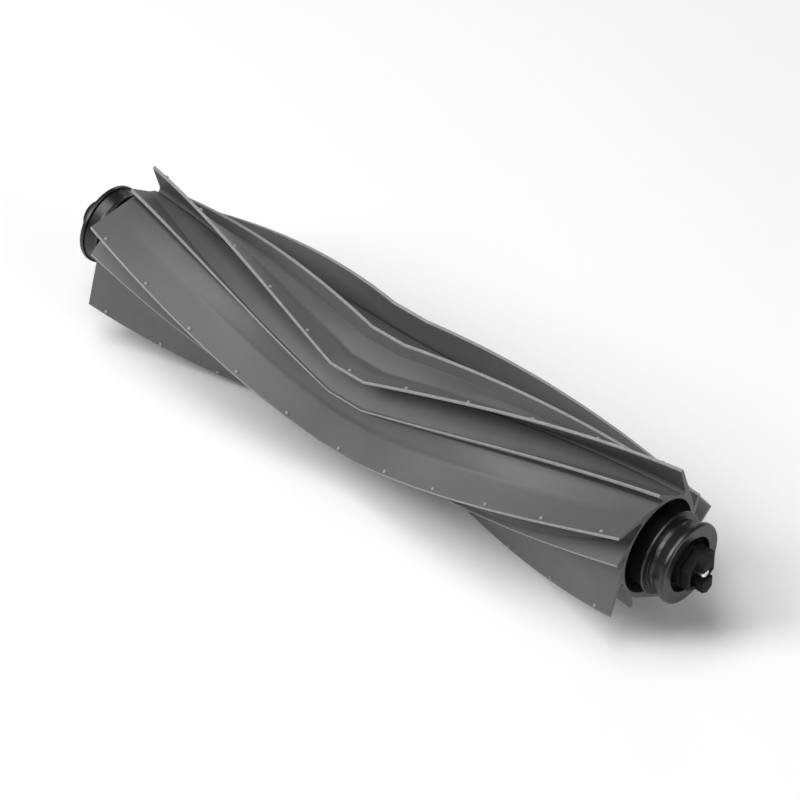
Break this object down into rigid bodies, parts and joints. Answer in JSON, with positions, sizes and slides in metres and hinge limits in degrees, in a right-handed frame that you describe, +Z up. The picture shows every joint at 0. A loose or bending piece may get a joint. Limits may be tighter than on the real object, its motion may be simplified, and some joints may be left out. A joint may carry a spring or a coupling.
{
  "type": "robot vacuum roller brush",
  "caption": "Roller brush with leaning chevron rubber blades on a rigid core, a spool-shaped bearing cover on each end and a hexagonal drive key.",
  "frame": {"origin": "on the roller's axis, at the middle of its length", "axes": "+X along the axis towards the drive key, +Z up"},
  "size_m": [0.203, 0.042, 0.042],
  "materials": {
    "grey_rubber": "satin",
    "black_plastic": "satin",
    "steel": "bright",
    "bush_plastic": "satin",
    "felt": "matte"
  },
  "bodies": {
    "idle_end": {"idle_cover": "black_plastic", "idle_bush": "bush_plastic"},
    "roller": {"rubber_sleeve": "grey_rubber", "core_tube": "black_plastic", "drive_end_plug": "black_plastic", "idle_end_plug": "black_plastic", "drive_key": "black_plastic", "idle_stub": "black_plastic", "drive_pin": "steel", "idle_pin": "steel", "drive_felt_ring": "felt", "idle_felt_ring": "felt", "drive_snap_ring": "steel", "idle_snap_ring": "steel"},
    "drive_end": {"drive_cover": "black_plastic", "drive_bush": "bush_plastic"}
  },
  "joints": [
    {"name": "roller_spin", "type": "hinge", "parent": "idle_end", "child": "roller", "pos_m": [0, 0, 0], "axis": [1, 0, 0], "continuous": true},
    {"name": "drive_cover_spin", "type": "hinge", "parent": "roller", "child": "drive_end", "pos_m": [0.08625, 0, 0], "axis": [1, 0, 0], "continuous": true}
  ]
}
